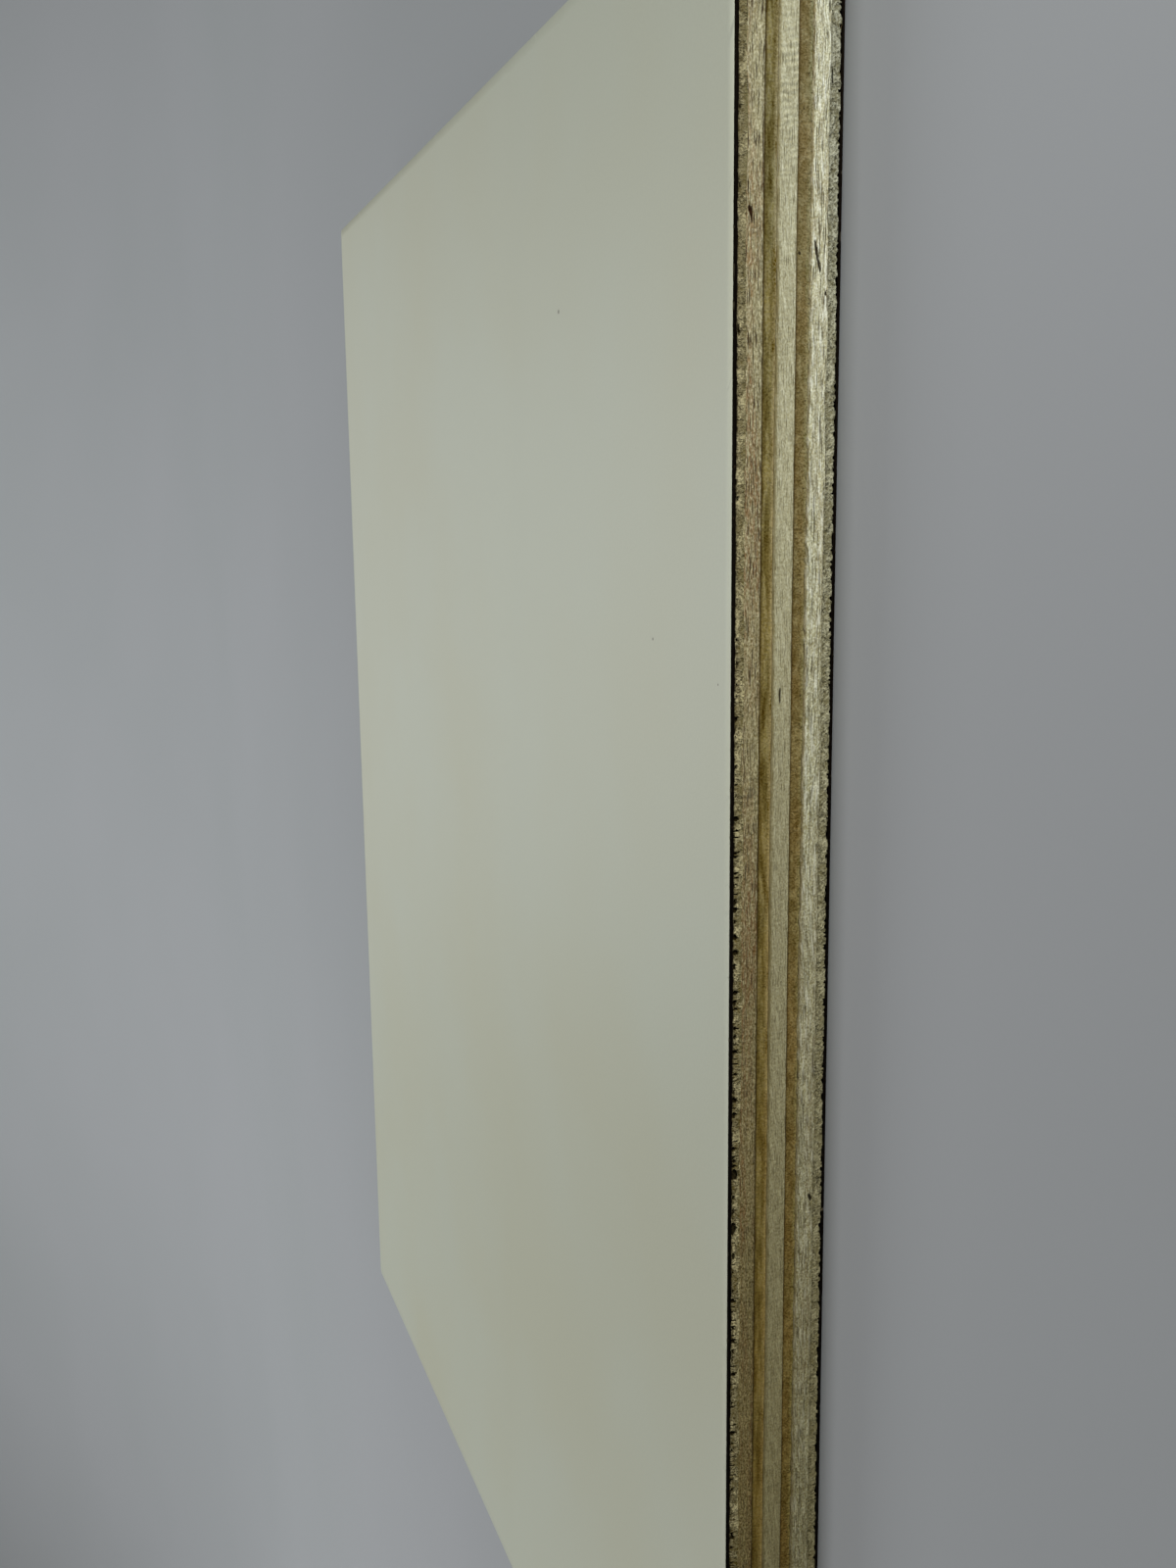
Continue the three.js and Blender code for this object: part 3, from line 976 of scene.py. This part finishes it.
def laminate(index, node, finishes, front):
    """A laminate: a straight sawn edge with small chips, and a bevel at the face that shows."""
    path = outline(**END_GRAIN_COLUMNS)
    low, high = seam_height(index, path), seam_height(index + 1, path)
    bottom, top = (corner.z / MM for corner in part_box(node))
    up = np.array([*LAMINATE_ROWS, 1 - LAMINATE_ARRIS / (top - bottom), 1])
    if not front:
        up = 1 - up[::-1]
    up = up[:, None]
    z = low + (high - low) * up
    s = np.broadcast_to(path.s, z.shape)
    from_bond = (z - low) if front else (high - z)
    rng = np.random.default_rng(LAMINATE_SEED + index)
    chips = spots(waver(rng, s, CHIP_CELL), 0.8, 0.15) * ease(up if front else 1 - up)
    fault_depth, fault = faults_of(node, s, z)
    saw_marks = 0.5 + 0.5 * mottle(rng, s, from_bond, SAW_MARK_CELL)
    face_row = np.zeros_like(z)
    face_row[-1 if front else 0] = 1
    sawn = SAW_MARK_DEPTH * saw_marks * (1 - face_row)
    depth = LAMINATE_ARRIS * face_row + sawn + CHIP_DEPTH * chips + fault_depth
    fields = {"torn": np.maximum(chips * 0.5, fault)}
    grid = edge_grid(path, z, depth)
    band, bonded, outer = LAMINATE_AREAS
    if front:
        areas = (band, bonded, outer)
        slots_up = [0] * (len(z) - 1) + [1, 1]  # the bevel shows the cream face's own thickness
    else:
        areas = (band, outer, bonded)
        slots_up = [1] + [0] * len(z)
    return layer_object(node + "_sheet", node, grid, fields, LAMINATE_STRIPS, areas, slots_up, finishes)


def build_panel():
    """Every layer, in place of its solid."""
    glue = glue_finish()
    laminate_finishes = [core_finish(), decor_finish()]
    for index, name in enumerate(LAYERS_FROM_BACK):
        if name in VENEERS:
            wood = veneer_finish(name + "_wood", VENEERS[name])
            piece = veneer(index, name, VENEERS[name], [wood, glue])
        else:
            piece = laminate(index, name, laminate_finishes, front=name == "front_laminate")
        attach(piece, "root")
        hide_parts(name)


# ---------------- Studio, in metres ----------------

SKY = "94989b"

# Distances from a place behind the panel between which the floor fades into the sky
BEHIND_PANEL = (0.0, 1.0, 0.0)
FADE_FROM = 1.35
FADE_TO = 1.85


def seen_rays(tree):
    """1 for the rays that show what is behind things: those of the camera, of gloss and of clear things."""
    kinds = tree.nodes.new("ShaderNodeLightPath").outputs
    share = kinds["Is Camera Ray"]
    for kind in ("Is Glossy Ray", "Is Transmission Ray"):
        either = tree.nodes.new("ShaderNodeMath")
        either.operation = "MAXIMUM"
        tree.links.new(share, either.inputs[0])
        tree.links.new(kinds[kind], either.inputs[1])
        share = either.outputs[0]
    return share


def fade_into_sky(finish):
    """Far from the panel the floor is seen in the sky's colour, so that it has no dark far edge."""
    far = finish.spread(finish.distance(BEHIND_PANEL), FADE_FROM, FADE_TO)
    glow = finish.put("Emission", {"Color": paint(SKY)}).outputs[0]
    shares = {0: finish.times(far, seen_rays(finish.tree)), 1: finish.shader.outputs[0], 2: glow}
    faded = finish.put("MixShader", shares).outputs[0]
    finish.tree.links.new(faded, finish.tree.nodes["Material Output"].inputs["Surface"])


def backdrop():
    """A pale floor that curves up into a wall: a profile in Y and Z, carried along X."""
    front, floor_end, radius, wall_top, half_width = -1.6, 0.6, 1.4, 2.4, 2.6
    bend = np.linspace(0, np.pi / 2, 49)
    y = np.concatenate([[front], floor_end + radius * np.sin(bend), [floor_end + radius]])
    z = np.concatenate([[0.0], radius * (1 - np.cos(bend)), [wall_top]])
    points = np.stack([np.stack([np.full_like(y, x), y, z], 1) for x in (-half_width, half_width)])
    n = len(y)
    k = np.arange(n - 1)
    faces = np.stack([k, n + k, n + k + 1, k + 1], 1)
    mesh = bpy.data.meshes.new("floor_and_wall")
    mesh.from_pydata(points.reshape(-1, 3).tolist(), [], faces.tolist())
    mesh.polygons.foreach_set("use_smooth", np.ones(len(faces), bool))
    finish = Finish("pale_paper", roughness=0.9, specular=0.2)
    patches = finish.noise((300, 300, 300))
    finish.colour(finish.blend(paint("888c8e"), paint("8c8f92"), patches, 0.3, 0.7))
    fade_into_sky(finish)
    mesh.materials.append(finish.material)
    floor = set_out("floor_and_wall", mesh)


def facing(at, towards, up):
    """The placement that looks from at towards a point, with up as near as can be to the picture's up."""
    back = (Vector(at) - Vector(towards)).normalized()
    right = Vector(up).cross(back).normalized()
    turned = Matrix((right, back.cross(right), back)).transposed().to_4x4()
    return Matrix.Translation(at) @ turned


def softbox(name, at, towards, size, power, colour, spread=180, shine=True):
    """A rectangular lamp that faces a point. A grid on its front can narrow its spread."""
    lamp = bpy.data.lights.new(name, "AREA")
    lamp.shape = "RECTANGLE"
    lamp.size, lamp.size_y = size
    lamp.energy = power
    lamp.spread = np.radians(spread)
    lamp.color = colour
    holder = set_out(name, lamp)
    holder.matrix_world = facing(at, towards, (0, 1, 0.2))
    holder.visible_glossy = shine


def studio():
    """The lamps: a narrow one for the near edge, two large ones over the panel, and one for the wall."""
    panel, near_edge, wall = (0.0, 0.0, 0.0), (0.1, -0.127, 0.008), (-0.3, 1.7, 0.2)
    softbox("side_light", (-1.2, 0.5, 0.9), panel, size=(0.9, 0.9), power=2.1, colour=WHITE)
    softbox("back_light", (0.0, 1.5, 1.3), panel, size=(1.0, 1.0), power=9.7, colour=(0.97, 1.0, 1.0))
    softbox("wall_light", (-0.3, 0.1, 1.5), wall, size=(1.2, 1.2), power=27.0, colour=(1.0, 0.99, 0.99))
    softbox(
        "edge_light", (0.33, -0.4, 0.062), near_edge, size=(0.12, 0.03), power=0.21,
        colour=(1.0, 1.0, 0.98), spread=60, shine=False,  # so that it leaves no glare
    )


def sky():
    """A dim warm sky that lights the panel, and a plain pale one that is only seen."""
    world = bpy.data.worlds.new("plain_sky")
    world.use_nodes = True
    tree = world.node_tree
    lit = tree.nodes["Background"]
    lit.inputs["Color"].default_value = (1.0, 0.84, 0.5, 1.0)
    lit.inputs["Strength"].default_value = 0.04
    seen = tree.nodes.new("ShaderNodeBackground")
    seen.inputs["Color"].default_value = paint(SKY)
    chosen = tree.nodes.new("ShaderNodeMixShader")
    tree.links.new(seen_rays(tree), chosen.inputs[0])
    tree.links.new(lit.outputs[0], chosen.inputs[1])
    tree.links.new(seen.outputs[0], chosen.inputs[2])
    tree.links.new(chosen.outputs[0], tree.nodes["World Output"].inputs["Surface"])
    bpy.context.scene.world = world


def camera():
    """A close view along the near edge, rolled so that the panel's +X end is at the top of the picture."""
    at = Vector((75.641, -300.574, 96.278)) * MM
    towards = Vector((32.39, -71.67, 15.0)) * MM
    picture_up = (0.984452, 0.161391, -0.069328)
    lens = bpy.data.cameras.new("camera")
    lens.sensor_width = 36
    lens.lens = 34.063
    lens.clip_start = 0.01
    holder = set_out("camera", lens)
    holder.matrix_world = facing(at, towards, picture_up)
    bpy.context.scene.camera = holder


build_panel()
backdrop()
studio()
sky()
camera()
bpy.context.scene.view_settings.view_transform = "Standard"
